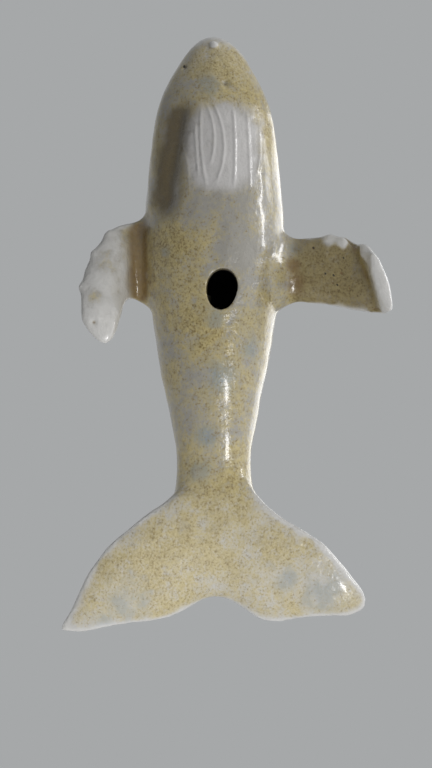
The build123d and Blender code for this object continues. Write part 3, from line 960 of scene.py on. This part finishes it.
def speckled_glaze():
    """Cream glaze full of ochre grains, white on thin edges and blue where it pooled, with painted shade
    and painted light.
    """
    made = bpy.data.materials.get("speckled_glaze")
    if made:
        return made
    glaze = bpy.context.scene.whale_glaze
    made = bpy.data.materials.new("speckled_glaze")
    made.use_nodes = True
    tree = made.node_tree
    shader = tree.nodes["Principled BSDF"]
    start = Wire(tree)
    spot = start.node("ShaderNodeTexCoord", out="Object")
    spot = start.node("ShaderNodeVectorMath", {"operation": "SCALE"}, {0: spot, "Scale": 1.0 / MM})

    def grains(scale, detail, rough=0.6):
        sockets = {"Vector": spot, "Scale": scale, "Detail": detail, "Roughness": rough}
        return start.node("ShaderNodeTexNoise", {"noise_dimensions": "3D"}, sockets)

    def mark(name):
        return start.node("ShaderNodeAttribute", {"attribute_name": name}, out="Fac")

    clouds = grains(CLOUD_SCALE, 2.0)
    drifts = grains(DRIFT_SCALE, 4.0)
    sand = grains(SAND_SCALE, 3.0, 0.65)
    dust = grains(DUST_SCALE, 3.0, 0.7)

    # How far the glaze is of each kind, and where shade and light are painted, with its edges frayed by the
    # drifts and the sand
    pale = mark("pale")
    # White on the fins: partly white glaze, partly painted light and painted highlight
    milk = (mark("milk") * 0.75 + (drifts - 0.5) * 0.9).between(0.0, 0.9)
    brim = (mark("brim") + milk * 0.35 + pale * 0.1 + (drifts - 0.5) * 0.3).between(0.17, 0.55)
    rich = mark("rich") - brim
    # Amber in creases: partly glaze pooled thick, partly painted shade, strongest at the fins' roots
    crease = (mark("root") * 0.16 - mark("swell") + (drifts - 0.5) * 0.1).between(0.04, 0.2)
    throat = (mark("throat") + (drifts - 0.5) * 1.1 + (sand - 0.5) * 0.3).between(0.1, 0.9)
    pool = (mark("pool") * 0.9 + (drifts - 0.5) * 2.4 + (sand - 0.5) * 0.6 - 0.15).between(0.0, 0.9)
    # Bare clay inside the body, rough and painted near black as shade
    bare_and_shaded = mark("hollow").between(0.35, 0.65)
    prick = mark("prick").between(0.3, 0.7)
    plain = (brim * 0.9 + throat * 0.95).between(0.0, 1.0)

    # Where the crystals and grains gather
    field = (clouds - 0.5) * 0.8 + (drifts - 0.5) * 0.7 + pale * 0.1
    field = field + rich * 0.14 - plain * 0.32 + mark("tint")
    straw = (sand * 0.6 + dust * 0.5 + field).between(0.3, 0.8)
    ochre = (dust * 0.7 + (1.0 - sand) * 0.3 + field * 0.3).between(0.48, 0.66)
    umber = (dust * 0.8 + (1.0 - sand) * 0.2 + field * 0.12).between(0.56, 0.7)

    # The colours, each laid over the ones before it
    # Paler towards the nose and the flukes, partly painted light
    colour = (pale * 0.5).blend(glaze.cream, glaze.white)
    colour = (pool * (0.85 - pale * 0.3)).blend(colour, glaze.blue)
    colour = (straw * (0.9 - pool * 0.5 - pale * 0.15)).blend(colour, glaze.straw)
    colour = (ochre * (0.75 - pool * 0.35 - pale * 0.2)).blend(colour, glaze.ochre)
    colour = (umber * (0.55 - pale * 0.2)).blend(colour, glaze.umber)
    # White on the fins, partly painted light and painted highlight
    colour = (milk * 0.7).blend(colour, glaze.white)
    # Painted shade in umber under the left fin
    colour = (rich.between(0.0, 1.0) * 0.52).blend(colour, glaze.umber)
    colour = (throat * 0.8).blend(colour, glaze.throat)
    colour = (brim * 0.85).blend(colour, glaze.white)
    # Painted shade in umber along the trough beside the throat
    jaw = (mark("jaw") + (drifts - 0.5) * 0.9 + (sand - 0.5) * 0.5).between(0.0, 0.9)
    colour = (jaw * 0.88).blend(colour, glaze.umber)
    # Painted shade and thick glaze in the creases, in amber
    colour = (crease * 0.75).blend(colour, glaze.amber)
    # Painted shade, near black, in the small pits
    colour = (prick * 0.92).blend(colour, glaze.inside)
    # Painted shade, near black, on the bare walls inside the body
    colour = bare_and_shaded.blend(colour, glaze.inside)
    tree.links.new(colour.socket, shader.inputs["Base Color"])

    # The gloss: duller on the grains and inside, and slightly uneven all over
    rough = glaze.roughness + ochre * 0.14 + bare_and_shaded * 0.5
    tree.links.new(rough.socket, shader.inputs["Roughness"])
    coat = (1.0 - bare_and_shaded) * glaze.coat
    tree.links.new(coat.socket, shader.inputs["Coat Weight"])
    shader.inputs["Coat Roughness"].default_value = glaze.coat_roughness
    height = sand * 0.3 + drifts * 1.3
    bump = {"Strength": BUMP_STRENGTH, "Distance": BUMP_DISTANCE, "Height": height}
    normal = start.node("ShaderNodeBump", {}, bump)
    tree.links.new(normal.socket, shader.inputs["Normal"])
    return made


def plain_material(name, colour, roughness):
    """A material of one colour."""
    made = bpy.data.materials.new(name)
    made.use_nodes = True
    shader = made.node_tree.nodes["Principled BSDF"]
    shader.inputs["Base Color"].default_value = (*colour, 1.0)
    shader.inputs["Roughness"].default_value = roughness
    return made


def floor_material(colour):
    """A matt floor that is clear from below, where the photograph looks up through it."""
    made = plain_material("pale_floor", colour, FLOOR_ROUGHNESS)
    tree = made.node_tree
    shader = tree.nodes["Principled BSDF"]
    ends = tree.nodes["Material Output"]
    start = Wire(tree)
    below = start.node("ShaderNodeNewGeometry", out="Backfacing")
    clear = start.node("ShaderNodeBsdfTransparent")
    surface = Wire(tree, shader.outputs[0])
    glow = start.node("ShaderNodeEmission", {}, {"Color": (*colour, 1.0), "Strength": FLOOR_GLOW})
    lit = start.node("ShaderNodeMixShader", {}, {0: FLOOR_GLOW_SHARE, 1: surface, 2: glow})
    mixed = start.node("ShaderNodeMixShader", {}, {0: below, 1: lit, 2: clear})
    tree.links.new(mixed.socket, ends.inputs["Surface"])
    return made


def lamp(name, spot, size, power, aim, mirrored):
    """A soft box at a spot round the whale, turned to a point of it."""
    data = bpy.data.lights.new(name, "AREA")
    data.shape = "RECTANGLE"
    data.size, data.size_y = size
    data.energy = power
    made = bpy.data.objects.new(name, data)
    bpy.context.scene.collection.objects.link(made)
    made.location = place(*spot)
    made.rotation_euler = (place(*aim) - made.location).to_track_quat("-Z", "Y").to_euler()
    made.visible_camera = False
    made.visible_glossy = mirrored


class WHALE_OT_stage(bpy.types.Operator):
    """Set the floor, the backdrop, the lamps and the camera"""

    bl_idname = "whale.stage"
    bl_label = "Stage"

    def execute(self, context):
        look = context.scene.whale_stage
        bpy.ops.object.select_all(action="DESELECT")
        spot = (0, 0, -FLOOR_DROP)
        bpy.ops.mesh.primitive_circle_add(vertices=96, radius=FLOOR_RADIUS, fill_type="NGON", location=spot)
        floor = context.active_object
        floor.name = "floor"
        floor.data.materials.append(floor_material(look.floor))
        floor.visible_shadow = False
        floor.visible_diffuse = False
        floor.visible_glossy = False
        for name, spot, size, power, aim, mirrored in LAMPS:
            lamp(name, spot, size, getattr(look, power), aim, mirrored)
        self.light_world(look)
        self.aim_camera(context)
        context.scene.view_settings.view_transform = "Standard"
        return {"FINISHED"}

    def light_world(self, look):
        """Dim light from all round, with the backdrop's colour where it is seen or mirrored."""
        world = bpy.data.worlds.new("studio")
        bpy.context.scene.world = world
        world.use_nodes = True
        tree = world.node_tree
        start = Wire(tree)
        seen = start.node("ShaderNodeLightPath", out="Is Camera Ray")
        mirrored = Wire(tree, seen.socket.node.outputs["Is Glossy Ray"])
        dim = tuple(look.ambient for _ in range(3))
        colour = seen.maths("MAXIMUM", seen, mirrored).blend(dim, tuple(look.backdrop))
        tree.links.new(colour.socket, tree.nodes["Background"].inputs["Color"])

    def aim_camera(self, context):
        """Looks straight up at the belly, with the nose at the top of the picture."""
        data = bpy.data.cameras.new("camera")
        data.sensor_fit = "VERTICAL"
        data.sensor_height = 24.0
        data.lens = data.sensor_height * PHOTO_FOCUS / PHOTO_HEIGHT
        camera = bpy.data.objects.new("camera", data)
        context.scene.collection.objects.link(camera)
        spot = place(EYE_BEHIND, EYE_OUT, -EYE_DEPTH)
        turn = Matrix(((0, 1, 0), (1, 0, 0), (0, 0, -1)))
        camera.matrix_world = Matrix.Translation(spot) @ turn.to_4x4()
        context.scene.camera = camera


class WHALE_PT_panel(bpy.types.Panel):
    """The whale's sizes, colours and steps"""

    bl_label = "Whale"
    bl_idname = "WHALE_PT_panel"
    bl_space_type = "VIEW_3D"
    bl_region_type = "UI"
    bl_category = "Whale"

    def draw(self, context):
        for group in (context.scene.whale_clay, context.scene.whale_glaze, context.scene.whale_stage):
            for name in group.__annotations__:
                self.layout.prop(group, name)
        for step in STEPS:
            self.layout.operator(step.bl_idname)


GROUPS = {"whale_clay": WhaleClay, "whale_glaze": WhaleGlaze, "whale_stage": WhaleStage}
STEPS = (
    WHALE_OT_clay_skin,
    WHALE_OT_body,
    WHALE_OT_flukes,
    WHALE_OT_pectoral_fins,
    WHALE_OT_dorsal_fin,
    WHALE_OT_stage,
)


def register():
    for name, group in GROUPS.items():
        bpy.utils.register_class(group)
        setattr(bpy.types.Scene, name, PointerProperty(type=group))
    for step in STEPS:
        bpy.utils.register_class(step)
    bpy.utils.register_class(WHALE_PT_panel)


def unregister():
    bpy.utils.unregister_class(WHALE_PT_panel)
    for step in reversed(STEPS):
        bpy.utils.unregister_class(step)
    for name, group in GROUPS.items():
        delattr(bpy.types.Scene, name)
        bpy.utils.unregister_class(group)


def main():
    register()
    bpy.ops.whale.clay_skin()
    bpy.ops.whale.body()
    bpy.ops.whale.flukes()
    bpy.ops.whale.pectoral_fins()
    bpy.ops.whale.dorsal_fin()
    bpy.data.objects.remove(bpy.data.objects["clay_skin"])
    bpy.ops.whale.stage()


if __name__ == "__main__":
    main()
